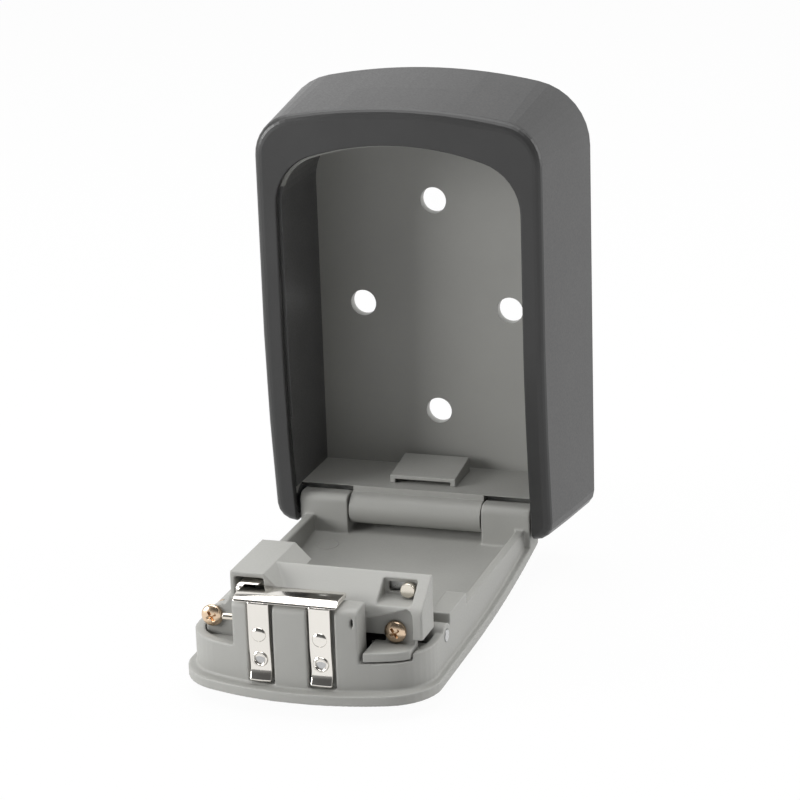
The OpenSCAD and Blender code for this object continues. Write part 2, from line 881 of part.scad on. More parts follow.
// Rounded flange behind the left screw
module left_flange() {
    left_x = screw_left_x - left_flange_side;
    along(post_s, pocket_s, concat(
        [[bump_left + channel_wall, skin_t + run_clear], [bump_left + channel_wall, bump_low_h],
            [bump_right - channel_wall, bump_low_h], [bump_right - channel_wall, flange_top_h],
            [bump_left - ledge_drop, flange_top_h]],
        arc(left_x + left_flange_r, left_post_h + left_post_over - left_flange_r, left_flange_r, 90, 180, 6),
        [[left_x, skin_t + run_clear]]));
}

// Wide end of the cap with its chamfered back corner
module cover_head() {
    intersection() {
        across(case_right - eps, head_right, cover_profile(head_low_h, head_s));
        between_y(-far, far)
            translate([0, hinge_z])
                polygon([[0, head_s], [head_right - head_chamfer, head_s], [head_right, ridge_s],
                    [head_right, far], [0, far]]);
        door_slab(lip_w - head_inset, 0, far);
    }
}

// Room for the dials and what works with them
module dial_room() {
    low_s = case_low_s + cover_t;
    ramp_drop = cover_t*sqrt(1 + ramp_rise*ramp_rise);
    top_h = case_top_h - cover_t/cos(slope_angle);
    across(bump_right, case_right - cover_t, [[0, low_s], [ramp_h(low_s) - ramp_drop, low_s], [top_h, ridge_s],
        [top_h - (post_s - ridge_s)*tan(slope_angle), post_s], [0, post_s]]);
    // Room for the post that takes the right screw
    door_box(screw_right_x - post_r - run_clear, screw_right_x + post_r + run_clear,
        post_s - post_len - 2*run_clear, post_s, 0, screw_h + post_r + run_clear);
}

// Solid round the reset knob's pocket
module knob_block() {
    intersection() {
        across(knob_x - knob_travel - knob_room - channel_wall, case_right, cover_profile(head_low_h, head_s));
        door_box(-far, far, slide_s + slide_t + dial_clear, far, knob_h - knob_room - channel_wall, far);
    }
}

module knob_cuts() {
    // Pocket that the knob moves in
    door_box(knob_x - knob_travel - knob_room, knob_x + knob_room, knob_s, far,
        knob_h - knob_room, knob_h + knob_room);
    // Slot for the knob's stem
    door_box(knob_x - knob_travel - stem_r - dial_clear, knob_x + stem_r + dial_clear, slide_s, knob_s + eps,
        knob_h - stem_r - dial_clear, knob_h + stem_r + dial_clear);
    // Room for the slide behind the pocket
    door_box(knob_x - knob_travel - slide_left - run_clear, knob_x + slide_right + run_clear,
        slide_s - dial_clear, slide_s + slide_t + dial_clear,
        knob_h - slide_drop - dial_clear, knob_h + stem_r + dial_clear);
}

// Scooped pocket round the right screw
module screw_pocket() {
    along(pocket_s, far, concat(
        [[block_right - 1, ledge_top_h], [block_right - 1, screw_h + pocket_left_rise]],
        arc(pocket_right - pocket_r, screw_h + pocket_right_rise - pocket_r, pocket_r,
            90 + pocket_tilt, 0, 6),
        arc(pocket_right - pocket_r, ledge_top_h + pocket_r, pocket_r, 0, -90, 6)));
}

// Ledge under the pocket, with its foot on the flange
module right_ledge() {
    intersection() {
        door_slab(lip_w + head_inset, ledge_top_h - ledge_t, head_low_h);
        union() {
            door_box(block_right + ledge_gap, pocket_right, pocket_s - flange_t/2, far, 0, ledge_top_h);
            door_box(dials_right + run_clear, pocket_right, post_s, pocket_s, 0, far);
        }
    }
}

module cover_screws() {
    recess_w = 0.7;
    recess_r = 1.5;
    color(brass)
        swung()
            for (x = [screw_left_x, screw_right_x])
                difference() {
                    union() {
                        long_bar(x, pocket_s - screw_len + screw_clear, pocket_s + eps, screw_h, screw_r);
                        long_bar(x, pocket_s, pocket_s + screw_head_t, screw_h, screw_head_r);
                    }
                    for (p = [[recess_r, recess_w/2], [recess_w/2, recess_r]])
                        door_box(x - p[0], x + p[0], pocket_s + screw_head_t/2, far,
                            screw_h - p[1], screw_h + p[1]);
                }
}

module dial_axle() {
    color(steel)
        swung()
            cross_bar(dials_left - run_clear - axle_post_w, wall_r + head_inset, axle_s, axle_h, axle_d/2);
}

// Spring on the axle that pushes the dials together
module axle_spring() {
    wire_r = 0.4;
    color(steel)
        swung()
            translate([dials_right + run_clear, door_front_y + axle_h, hinge_z + axle_s])
                rotate([0, 90, 0])
                    coil(boss_x - dials_right - run_clear, axle_d/2 + wire_r + dial_clear, wire_r, 5);
}

// Sprung strip with one finger for each dial
module detent_spring() {
    finger_gap = 0.6;
    finger_root_h = 6;
    color(steel)
        swung()
            difference() {
                door_box(dials_left, dials_right, strip_s, strip_s + strip_t,
                    skin_t + recess(hinge_z + strip_s), axle_h + sleeve_r);
                for (i = [1:dial_count - 1])
                    door_box(dials_left + dial_pitch*i - finger_gap, dials_left + dial_pitch*i, strip_s - 1,
                        strip_s + 1, finger_root_h, far);
            }
}

// Pin beside the latch bar
module guide_pin() {
    color(chrome)
        swung()
            cross_bar(block_left - guide_len, block_left + guide_len, guide_s, guide_h, guide_r);
}

// Bright plate with two bent legs, a bar across them and a tongue back to the lever
module latch_plate() {
    under = acos((bend_r - latch_t)/bend_r);
    color(chrome)
        swung() {
            across(bar_left, bar_right,
                concat([[plate_h, block_s], [plate_h + latch_t, block_s]], bend(under)));
            for (x = [leg_left_x, leg_right_x])
                across(x - leg_w/2, x + leg_w/2, concat(
                    [[plate_h, leg_s - latch_t], [plate_h, block_s + 1], [plate_h + latch_t, block_s + 1]],
                    bend(90),
                    [[leg_low_h + lip_t + leg_lip, leg_s], [leg_low_h + lip_t, leg_s + leg_lip],
                        [leg_low_h, leg_s + leg_lip], [leg_low_h, leg_s - latch_t]]));
            door_box(tongue_x - tongue_w/2, tongue_x + tongue_w/2, tongue_s, block_s + eps,
                plate_h, plate_h + latch_t);
        }
}

// Rivet heads and eyelets on the legs
module latch_rivets() {
    head_t = 0.6;
    color(chrome)
        swung()
            for (x = [leg_left_x, leg_right_x]) {
                long_bar(x, leg_s, leg_s + head_t, rivet_h, rivet_r);
                difference() {
                    long_bar(x, leg_s, leg_s + head_t, eyelet_h, eyelet_r);
                    long_bar(x, leg_s - 1, leg_s + 1, eyelet_h, eyelet_hole_r);
                }
            }
}

// Front lever that draws the latch in
module open_lever() {
    pad_s = tongue_s - lever_back;
    color(black)
        swung() {
            door_box(tongue_x - lever_w/2, tongue_x + lever_w/2, lever_s, lever_s + lever_stem_t,
                -run_clear - eps, plate_h);
            difference() {
                door_box(lever_left, shutter_left - 2*run_clear - rail_w, pad_s, pad_s + lever_len,
                    -run_clear - lever_t, -run_clear);
                for (i = [0:2])
                    door_box(-far, far, pad_s + grip_w*(2 + 3*i), pad_s + grip_w*(3 + 3*i), -far,
                        -run_clear - lever_t + grip_w/2);
            }
        }
}

// Spring that pushes the latch out
module latch_spring() {
    wire_r = 0.25;
    coil_r = 1.3;
    color(steel)
        swung()
            translate([tongue_x, door_front_y + plate_h + latch_t/2, hinge_z + channel_s])
                coil(spring_len, coil_r, wire_r, 5);
}

// Knob that frees the code for a new setting
module reset_knob() {
    color(chrome)
        swung() {
            long_bar(knob_x, slide_s + slide_t, knob_s + run_clear + eps, knob_h, stem_r);
            long_bar(knob_x, knob_s + run_clear, knob_s + run_clear + knob_t, knob_h, knob_r);
        }
}

module reset_plate() {
    color(steel)
        swung()
            door_box(knob_x - slide_left, knob_x + slide_right, slide_s, slide_s + slide_t,
                knob_h - slide_drop, knob_h + stem_r);
}

// Sliding weather cover of the dials
module dial_shutter() {
    grip_x = 8;
    color(black)
        swung()
            difference() {
                door_box(shutter_left, shutter_right, shutter_low_s, shutter_low_s + shutter_len, shutter_h,
                    shutter_h + shutter_t);
                for (i = [0:4])
                    door_box(shutter_left + grip_x, shutter_right - grip_x, shutter_low_s + grip_w*(3 + 2*i),
                        shutter_low_s + grip_w*(4 + 2*i), -far, shutter_h + grip_w/2);
            }
}

// One number dial with finger notches
module dial(i) {
    notch_out = dial_r + notch_r/2;
    color(black)
        swung()
            difference() {
                cross_bar(dials_left + dial_pitch*i, dials_left + dial_pitch*i + dial_w,
                    axle_s, axle_h, dial_r);
                cross_bar(-far, far, axle_s, axle_h, sleeve_r);
                for (k = [0:9])
                    translate([0, notch_out*cos(36*k), notch_out*sin(36*k)])
                        cross_bar(-far, far, axle_s, axle_h, notch_r, $fn = 24);
            }
}

// Slotted sleeve that carries a dial's code
module code_sleeve(i) {
    slot_w = 1.6;
    slot_len = 1.4;
    color(brass)
        swung()
            difference() {
                cross_bar(dials_left + dial_pitch*i, dials_left + dial_pitch*i + dial_w,
                    axle_s, axle_h, sleeve_r);
                cross_bar(-far, far, axle_s, axle_h, axle_d/2 + shaft_clear);
                door_box(-far, dials_left + dial_pitch*i + slot_len, axle_s - slot_w/2, axle_s + slot_w/2,
                    axle_h + sleeve_r - 2, far);
            }
}

outer_cover();
inner_case();
hinge_pin();
floor_clip();
door_shell();
lock_cover();
cover_screws();
dial_axle();
axle_spring();
detent_spring();
guide_pin();
latch_plate();
latch_rivets();
open_lever();
latch_spring();
reset_knob();
reset_plate();
dial_shutter();
for (i = [0:dial_count - 1]) {
    dial(i);
    code_sleeve(i);
}
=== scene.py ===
"""Dresses the combination key safe: finishes, small details, studio light and camera."""
import json
import math

import bmesh
import bpy
from mathutils import Matrix, Vector


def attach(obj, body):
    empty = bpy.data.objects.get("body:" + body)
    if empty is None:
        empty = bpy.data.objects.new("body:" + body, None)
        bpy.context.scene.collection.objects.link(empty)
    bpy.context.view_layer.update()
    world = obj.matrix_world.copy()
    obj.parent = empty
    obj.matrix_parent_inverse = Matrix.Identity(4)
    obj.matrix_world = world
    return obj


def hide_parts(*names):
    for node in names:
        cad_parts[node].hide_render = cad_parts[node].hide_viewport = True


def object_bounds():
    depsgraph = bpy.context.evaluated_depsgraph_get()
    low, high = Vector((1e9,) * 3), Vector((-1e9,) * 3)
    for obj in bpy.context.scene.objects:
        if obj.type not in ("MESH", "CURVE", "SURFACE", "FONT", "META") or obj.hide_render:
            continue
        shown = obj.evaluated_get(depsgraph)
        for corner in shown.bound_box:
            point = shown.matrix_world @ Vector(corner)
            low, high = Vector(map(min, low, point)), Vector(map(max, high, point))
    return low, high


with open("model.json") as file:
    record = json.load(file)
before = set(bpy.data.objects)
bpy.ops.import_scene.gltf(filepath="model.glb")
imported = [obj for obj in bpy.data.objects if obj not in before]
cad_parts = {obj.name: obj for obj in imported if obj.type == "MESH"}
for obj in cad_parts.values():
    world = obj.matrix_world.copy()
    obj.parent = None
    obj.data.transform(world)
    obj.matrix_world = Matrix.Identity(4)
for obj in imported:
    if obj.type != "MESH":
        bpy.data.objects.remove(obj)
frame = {"nodes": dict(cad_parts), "record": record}
cad_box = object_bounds()
MM = 0.001

# Camera fitted to the photograph, in millimetres and degrees, with its near clip in metres
CAM_AZIMUTH = 18.27
CAM_ELEVATION = 17.41
CAM_ROLL = -1.90
CAM_DISTANCE = 751.6
CAM_SIDE = -11.28
CAM_RISE = -25.25
CAM_FOCAL_PX = 2824.3
IMAGE_PX = 800
SENSOR_MM = 36.0
CLIP_START = 0.01

# Light of the surroundings: a white backdrop behind, a low pale band in front, a dim ceiling
BACKDROP_LIGHT = 1.0
FRONT_LIGHT = 0.25
CEILING_LIGHT = 0.10
BACKDROP_TOP = 0.55
FRONT_TOP = 0.10
FADE = 0.12
SIDE_BLEND = 0.25

# Soft boxes: name, place, target and size in metres, power in watts
SOFT_BOXES = (
    ("key_box", (-0.84, -0.66, 0.26), (0, -0.05, -0.02), (0.45, 0.45), 9.5),
    ("top_box", (-0.10, 0.00, 0.80), (-0.05, -0.03, 0.02), (1.0, 1.2), 11.0),
    ("side_box", (0.70, 0.22, 0.25), (0.03, -0.02, 0.02), (0.4, 0.7), 3.0),
)

# Floor: half its side and its gap under the part in metres, then its paper
FLOOR_HALF = 6.0
FLOOR_DROP = 0.0002
FLOOR_PAPER = (0.68, 0.68, 0.68, 1)
FLOOR_ROUGH = 0.9
FLOOR_GLOSS = 0.1
FLOOR_WHITE_SHARE = 0.96

# Linear colours of the finishes
WHITE = (1, 1, 1, 1)
BLACK_COAT = (0.031, 0.031, 0.031, 1)
WALL_COAT = (0.095, 0.095, 0.095, 1)
DOOR_GREY = (0.310, 0.309, 0.292, 1)
CHROME = (0.82, 0.79, 0.74, 1)
NICKEL = (0.74, 0.69, 0.60, 1)
BRASS = (0.78, 0.60, 0.43, 1)
STEEL = (0.50, 0.50, 0.50, 1)
BLACK_PLASTIC = (0.018, 0.018, 0.019, 1)
WHITE_PAINT = (0.80, 0.80, 0.78, 1)

# Texture of the finishes: noise scales per metre, relief in metres, paler edges by pointiness,
# partly wear and partly a painted highlight
MOTTLE_SCALE = 60
MOTTLE_DETAIL = 5.0
GRAIN_SCALE = 1800
GRAIN_DETAIL = 3.0
GRAIN_RELIEF = 0.0002
NOISE_ROUGH = 0.55
NOISE_LOW = 0.3
NOISE_HIGH = 0.7
ROUGH_SPREAD = 0.15
# Paler sharp edges below are partly wear and partly a painted highlight standing in for edge
# glints
EDGE_WEAR_HIGHLIGHT_FROM = 0.53
EDGE_WEAR_HIGHLIGHT_FULL = 0.60
EDGE_WEAR_HIGHLIGHT_LOW = 1.5
EDGE_WEAR_HIGHLIGHT_HIGH = 1.9
WALL_SPREAD = 0.08

# Borders of the black coat on the case's walls, in millimetres
PLATE_FRONT_Y = -2.8
CASE_FLOOR_Z = -44.5
RIM_BACK_Y = -30.0
# From this height up the rim stays grey, a painted highlight of its lit edge
RIM_HIGHLIGHT_LOW_Z = 38.0
COAT_EDGE = 0.1

# Edges of the carried-over nodes: widths and voxels in metres, angles in degrees
EDGE_WIDTH = {"outer_cover": 0.0004, "inner_case": 0.0005}
EDGE_WIDTH_PLAIN = 0.0002
EDGE_SEGMENTS = 3
EDGE_ANGLE = 28
WELD_GAP = 0.00001
FLAT_ANGLE = 1.0
CAST_VOXEL = {"door_shell": 0.00028, "lock_cover": 0.00025, "open_lever": 0.0002,
              "dial_1": 0.00016, "dial_2": 0.00016, "dial_3": 0.00016, "dial_4": 0.00016}
CAST_PASSES = 3
CAST_EASE = 0.5
CAST_KEEP = 0.22
NODE_FINISH = {"floor_clip": "zinc_light"}

# Open door in millimetres: s runs along it from the hinge, h is the depth behind its front
HINGE_Y = -23.5
DOOR_FRONT_Z = -63.2

# Latch plate: legs
LEG_S = 96.7
LEG_X = (-8.9, 6.2)
LEG_W = 5.3
LEG_LOW_H = 3.8
LEG_LIP = 0.5
LEG_BOW = 0.55
LEG_BOW_TOP_H = 14.0
LEG_FLARE_H = 6.8
LEG_FLARE_POWER = 1.4
LEG_SINK = 0.15
LEG_ROOT = 1.5
LEG_BEND_R = 0.4
LEG_BEND_DROP = 0.4
LEG_CROWN = 0.10
LEG_CORNER = 0.3
LEG_STEPS = 40
LATCH_T = 1.5
NOSE_R = 1.0
NOSE_STEPS = 6
CORNER_POINTS = 5
CROWN_STEPS = 8

# Latch plate: bar, with rows of distance from an end and inset there, and tongue
BLOCK_S = 88.6
PLATE_H = 23.2
BAR_X = (-15.15, 10.45)
BAR_R = 3.6
BAR_TURN = 50.0
BAR_STEPS = 9
BAR_UNDER_EASE = 0.25
BAR_TOP_EASE = 0.4
BAR_TOP_MID = 0.12
BAR_NOSE_OUT = 0.10
BAR_NOSE_DROP = 0.15
BAR_FOOT_OUT = 0.05
BAR_END = ((0.0, 0.30), (0.10, 0.12), (0.35, 0.0))
TONGUE_X = (-16.5, -11.5)
TONGUE_S = 73.0
TONGUE_LAP = 2
TONGUE_CORNER = 0.2

# Turned pieces: steps round the axis and steps over a crown
SPIN_STEPS = 48
DOME_STEPS = 9

# Rivets and eyelets, with the eyelets' cores as shares of the hole's radius
RIVET_H = 15.4
RIVET_R = 1.8
RIVET_T = 0.6
RIVET_START = 4
RIVET_MERGE = 1e-6
EYELET_H = 9.2
EYELET_R = 2.0
EYELET_HOLE_R = 1.2
EYELET_STEPS = 10
CORE_RINGS = (0.06, 0.3, 0.5, 0.7, 0.85, 1.0, 1.1)
CORE_RISE = 0.16
CORE_FALL = 0.12
CORE_DEPTH = 0.5

# Cover screws; the cross has rows of height, half length and half width
SCREW_X = (-24.4, 21.5)
SCREW_TURN = (28, 35)
SCREW_H = 15.0
SCREW_SEAT_S = 86.2
SCREW_HEAD_R = 2.7
SCREW_HEAD_T = 1.6
SCREW_RIM = 0.35
SCREW_START = 5
SCREW_UNDERCUT = 0.1
SCREW_R = 1.3
SCREW_LEN = 6.8
SCREW_CROSS = ((0.45, 0.55, 0.20), (SCREW_HEAD_T + 0.3, 1.75, 0.42))
SCREW_EDGE = 0.00006
SCREW_EDGE_SEGMENTS = 2
SCREW_EDGE_ANGLE = 40

# Ejector-pin mark on the tray floor, with rows of distance from its radius and height
MARK_X = -22.0
MARK_S = 10.6
MARK_H = 5.59
MARK_R = 2.75
MARK_SLOPE = -0.126
MARK_RING = ((-0.3, 0.0), (-0.2, 0.10), (0.0, 0.14), (0.2, 0.10), (0.3, 0.0), (0.0, -0.3))
MARK_MERGE = 1e-7

# Dials and their digits; the start is in degrees, the rest in millimetres
AXLE_S = 74.0
AXLE_H = 9.8
DIAL_R = 10.4
DIAL_LEFT = -8.4
DIAL_W = 5.8
DIAL_PITCH = 7.0
DIAL_COUNT = 4
DIGIT_COUNT = 10
DIGIT_SIZE = 3.9
DIGIT_DEPTH = 0.20
DIGIT_PROUD = 0.03
DIGIT_START = 18.0
DIGIT_BANDS = 10
DIGIT_CURVE_STEPS = 4
DIGIT_MERGE = 1e-5
DIGIT_BAND_MERGE = 3e-5
DIGIT_SLIVER = 2e-5


def door_point(x, s, h):
    """A point of the open door from its place across, along and behind it."""
    return Vector((x, HINGE_Y - s, DOOR_FRONT_Z + h))*MM


def add_object(name, data):
    """Makes an object and puts it in the scene."""
    obj = bpy.data.objects.new(name, data)
    bpy.context.collection.objects.link(obj)
    return obj


def evaluated_mesh(obj):
    """A new mesh of an object, with its modifiers or its text carried out."""
    bpy.context.view_layer.update()
    graph = bpy.context.evaluated_depsgraph_get()
    return bpy.data.meshes.new_from_object(obj.evaluated_get(graph))


def noise(nodes, links, coords, scale, detail):
    """A noise texture in object space."""
    tex = nodes.new("ShaderNodeTexNoise")
    tex.inputs["Scale"].default_value = scale
    tex.inputs["Detail"].default_value = detail
    tex.inputs["Roughness"].default_value = NOISE_ROUGH
    links.new(coords, tex.inputs["Vector"])
    return tex.outputs["Fac"]


def ramp(nodes, links, fac, low, high):
    """A colour ramp between two colours over the noise's usual range."""
    node = nodes.new("ShaderNodeValToRGB")
    node.color_ramp.elements[0].position = NOISE_LOW
    node.color_ramp.elements[1].position = NOISE_HIGH
    node.color_ramp.elements[0].color = low
    node.color_ramp.elements[1].color = high
    links.new(fac, node.inputs["Fac"])
    return node.outputs["Color"]


def span(nodes, links, fac, low, high, start=NOISE_LOW, end=NOISE_HIGH):
    """Maps a value to a range of plain numbers."""
    node = nodes.new("ShaderNodeMapRange")
    node.inputs["From Min"].default_value = start
    node.inputs["From Max"].default_value = end
    node.inputs["To Min"].default_value = low
    node.inputs["To Max"].default_value = high
    links.new(fac, node.inputs["Value"])
    return node.outputs["Result"]


def math_node(nodes, links, operation, first, second):
    """One arithmetic step on two values, each a socket or a number."""
    node = nodes.new("ShaderNodeMath")
    node.operation = operation
    for socket, value in zip(node.inputs, (first, second)):
        if isinstance(value, (int, float)):
            socket.default_value = value
        else:
            links.new(value, socket)
    return node.outputs["Value"]


def mix_colour(nodes, links, fac, low, high):
    """Blends two colour sockets."""
    node = nodes.new("ShaderNodeMix")
    node.data_type = "RGBA"
    links.new(fac, node.inputs["Factor"])
    links.new(low, node.inputs["A"])
    links.new(high, node.inputs["B"])
    return node.outputs["Result"]


def shade(colour, factor):
    """A colour made darker or paler, and opaque."""
    return tuple(c*factor for c in colour[:3]) + (1,)


def add_camera():
    """Places the camera where the photograph was taken from."""
    az, el, roll = (math.radians(a) for a in (CAM_AZIMUTH, CAM_ELEVATION, CAM_ROLL))
    right = Vector((math.cos(az), math.sin(az), 0))
    back = Vector((math.sin(az)*math.cos(el), -math.cos(az)*math.cos(el), math.sin(el)))
    up = back.cross(right)
    x_axis = math.cos(roll)*right + math.sin(roll)*up
    y_axis = math.cos(roll)*up - math.sin(roll)*right
    data = bpy.data.cameras.new("camera")
    data.sensor_width = SENSOR_MM
    data.lens = SENSOR_MM*CAM_FOCAL_PX/IMAGE_PX
    data.clip_start = CLIP_START
    camera = add_object("camera", data)
    place = (CAM_SIDE*right + CAM_RISE*up + CAM_DISTANCE*back)*MM
    turn = Matrix((x_axis, y_axis, back)).transposed().to_4x4()
    camera.matrix_world = Matrix.Translation(place) @ turn
    bpy.context.scene.camera = camera


def add_world():
    """Soft light of the surroundings, by height and by whether it is behind or in front."""
    world = bpy.data.worlds.new("studio")
    bpy.context.scene.world = world
    world.use_nodes = True
    nodes, links = world.node_tree.nodes, world.node_tree.links
    nodes.clear()
    out = nodes.new("ShaderNodeOutputWorld")
    sky = nodes.new("ShaderNodeBackground")
    sky.inputs["Color"].default_value = WHITE
    side = nodes.new("ShaderNodeSeparateXYZ")
    links.new(nodes.new("ShaderNodeTexCoord").outputs["Generated"], side.inputs[0])
    behind = side.outputs["Y"]
    low_light = span(nodes, links, behind, FRONT_LIGHT, BACKDROP_LIGHT, -SIDE_BLEND, SIDE_BLEND)
    low_top = span(nodes, links, behind, FRONT_TOP, BACKDROP_TOP, -SIDE_BLEND, SIDE_BLEND)
    above = math_node(nodes, links, "SUBTRACT", side.outputs["Z"], low_top)
    share = span(nodes, links, above, 1.0, 0.0, 0.0, FADE)
    rise = math_node(nodes, links, "SUBTRACT", low_light, CEILING_LIGHT)
    level = math_node(nodes, links, "MULTIPLY", share, rise)
    links.new(math_node(nodes, links, "ADD", level, CEILING_LIGHT), sky.inputs["Strength"])
    links.new(sky.outputs[0], out.inputs["Surface"])


def floor_material():
    """White paper floor that keeps a soft shadow."""
    mat = bpy.data.materials.new("floor_paper")
    mat.use_nodes = True
    nodes, links = mat.node_tree.nodes, mat.node_tree.links
    shader = nodes["Principled BSDF"]
    shader.inputs["Roughness"].default_value = FLOOR_ROUGH
    shader.inputs["Base Color"].default_value = FLOOR_PAPER
    shader.inputs["Specular IOR Level"].default_value = FLOOR_GLOSS
    glow = nodes.new("ShaderNodeEmission")
    glow.inputs["Color"].default_value = WHITE
    glow.inputs["Strength"].default_value = 1.0
    rays = nodes.new("ShaderNodeLightPath").outputs
    seen = math_node(nodes, links, "MAXIMUM", rays["Is Camera Ray"], rays["Is Glossy Ray"])
    seen = math_node(nodes, links, "MAXIMUM", seen, rays["Is Transmission Ray"])
    share = math_node(nodes, links, "MULTIPLY", seen, FLOOR_WHITE_SHARE)
    mix = nodes.new("ShaderNodeMixShader")
    links.new(share, mix.inputs["Fac"])
    links.new(shader.outputs[0], mix.inputs[1])
    links.new(glow.outputs[0], mix.inputs[2])
    links.new(mix.outputs[0], nodes["Material Output"].inputs["Surface"])
    return mat


def add_floor():
    """Pale floor just under the part."""
    floor_z = cad_box[0][2] - FLOOR_DROP
    corners = [(i*FLOOR_HALF, j*FLOOR_HALF, floor_z)
               for i, j in ((-1, -1), (1, -1), (1, 1), (-1, 1))]
    mesh = bpy.data.meshes.new("floor")
    mesh.from_pydata(corners, [], [(0, 1, 2, 3)])
    mesh.materials.append(floor_material())
    floor = add_object("floor", mesh)


def add_soft_box(name, place, target, size, power):
    """A soft box that points at a target."""
    data = bpy.data.lights.new(name, "AREA")
    data.shape = "RECTANGLE"
    data.size, data.size_y = size
    data.energy = power
    lamp = add_object(name, data)
    lamp.location = place
    aim = Vector(target) - Vector(place)
    lamp.rotation_euler = aim.to_track_quat("-Z", "Y").to_euler()


def add_studio():
    """Surroundings, pale floor and soft boxes, shown without a film look."""
    bpy.context.scene.view_settings.view_transform = "Standard"
    add_world()
    add_floor()
    for row in SOFT_BOXES:
        add_soft_box(*row)


def finish_material(name, colour, rough, spread, bump, metallic=0.0, edge_wear_highlight=0.0, gloss=0.5):
    """A finish with mottled colour, uneven gloss, a fine grain and paler edges, partly wear and
    partly a painted highlight.
    """
    mat = bpy.data.materials.new(name)
    mat.use_nodes = True
    nodes, links = mat.node_tree.nodes, mat.node_tree.links
    shader = nodes["Principled BSDF"]
    coords = nodes.new("ShaderNodeTexCoord").outputs["Object"]
    broad = noise(nodes, links, coords, MOTTLE_SCALE, MOTTLE_DETAIL)
    fine = noise(nodes, links, coords, GRAIN_SCALE, GRAIN_DETAIL)
    base = ramp(nodes, links, broad, shade(colour, 1 - spread), shade(colour, 1 + spread))
    # Paler sharp edges: partly wear, partly a painted highlight standing in for edge glints
    if edge_wear_highlight:
        pointed = nodes.new("ShaderNodeNewGeometry").outputs["Pointiness"]
        edge_wear_highlight_mask = span(nodes, links, pointed, 0.0, edge_wear_highlight, EDGE_WEAR_HIGHLIGHT_FROM, EDGE_WEAR_HIGHLIGHT_FULL)
        pale = ramp(nodes, links, broad, shade(colour, EDGE_WEAR_HIGHLIGHT_LOW),
                    shade(colour, EDGE_WEAR_HIGHLIGHT_HIGH))
        base = mix_colour(nodes, links, edge_wear_highlight_mask, base, pale)
    links.new(base, shader.inputs["Base Color"])
    uneven = span(nodes, links, fine, rough*(1 - ROUGH_SPREAD), rough*(1 + ROUGH_SPREAD))
    links.new(uneven, shader.inputs["Roughness"])
    shader.inputs["Metallic"].default_value = metallic
    shader.inputs["Specular IOR Level"].default_value = gloss
    relief = nodes.new("ShaderNodeBump")
    relief.inputs["Strength"].default_value = bump
    relief.inputs["Distance"].default_value = GRAIN_RELIEF
    links.new(fine, relief.inputs["Height"])
    links.new(relief.outputs["Normal"], shader.inputs["Normal"])
    return mat


def case_material():
    """Grey paint on the plate, floor and barrel, and a black coat on the walls between them; the
    rim's top strip stays grey as a painted highlight of its lit edge.
    """
    mat = finish_material("case_paint", DOOR_GREY, rough=0.45, spread=0.025, bump=0.10)
    nodes, links = mat.node_tree.nodes, mat.node_tree.links
    shader = nodes["Principled BSDF"]
    grey = shader.inputs["Base Color"].links[0].from_socket
    coords = nodes.new("ShaderNodeTexCoord").outputs["Object"]
    place = nodes.new("ShaderNodeSeparateXYZ")
    links.new(coords, place.inputs[0])
    y, z = place.outputs["Y"], place.outputs["Z"]
    before_plate = math_node(nodes, links, "LESS_THAN", y, (PLATE_FRONT_Y - COAT_EDGE)*MM)
    above_floor = math_node(nodes, links, "GREATER_THAN", z, (CASE_FLOOR_Z + COAT_EDGE)*MM)
    on_wall = math_node(nodes, links, "MULTIPLY", before_plate, above_floor)
    # The rim stays grey along the top: a painted highlight of its lit edge
    on_rim = math_node(nodes, links, "LESS_THAN", y, (RIM_BACK_Y + COAT_EDGE)*MM)
    at_top = math_node(nodes, links, "GREATER_THAN", z, RIM_HIGHLIGHT_LOW_Z*MM)
    rim_painted_highlight = math_node(nodes, links, "MULTIPLY", on_rim, at_top)
    coated = math_node(nodes, links, "SUBTRACT", on_wall, rim_painted_highlight)
    mottle = noise(nodes, links, coords, MOTTLE_SCALE, MOTTLE_DETAIL)
    black = ramp(nodes, links, mottle, shade(WALL_COAT, 1 - WALL_SPREAD),
                 shade(WALL_COAT, 1 + WALL_SPREAD))
    links.new(mix_colour(nodes, links, coated, grey, black), shader.inputs["Base Color"])
    return mat


def add_materials():
    """One finish for each material slot of the record, and the paint of the digits."""
    return {
        # The black coat gets paler edges, partly wear and partly a painted highlight
        "black_coat": finish_material("satin_black_coat", BLACK_COAT, rough=0.36, spread=0.08,
                                      bump=0.06, edge_wear_highlight=0.5, gloss=0.42),
        "zinc_dark": case_material(),
        "zinc_light": finish_material("grey_door_paint", DOOR_GREY, rough=0.5, spread=0.025,
                                      bump=0.10),
        "chrome": finish_material("bright_chrome", CHROME, rough=0.12, spread=0.03,
                                  bump=0.02, metallic=1.0),
        "nickel": finish_material("bright_nickel", NICKEL, rough=0.16, spread=0.05,
                                  bump=0.03, metallic=1.0),
        "brass": finish_material("yellow_brass", BRASS, rough=0.24, spread=0.12,
                                 bump=0.05, metallic=1.0),
        "steel": finish_material("plain_steel", STEEL, rough=0.30, spread=0.06,
                                 bump=0.05, metallic=1.0),
        "digit_paint": finish_material("white_digit_paint", WHITE_PAINT, rough=0.55,
                                       spread=0.04, bump=0.05),
        "black_plastic": finish_material("black_plastic", BLACK_PLASTIC, rough=0.48,
                                         spread=0.10, bump=0.12),
    }


def round_edges(obj, width, segments, angle):
    """Rounds the edges that are sharper than an angle."""
    bevel = obj.modifiers.new("round", "BEVEL")
    bevel.width = width
    bevel.segments = segments
    bevel.limit_method = "ANGLE"
    bevel.angle_limit = math.radians(angle)


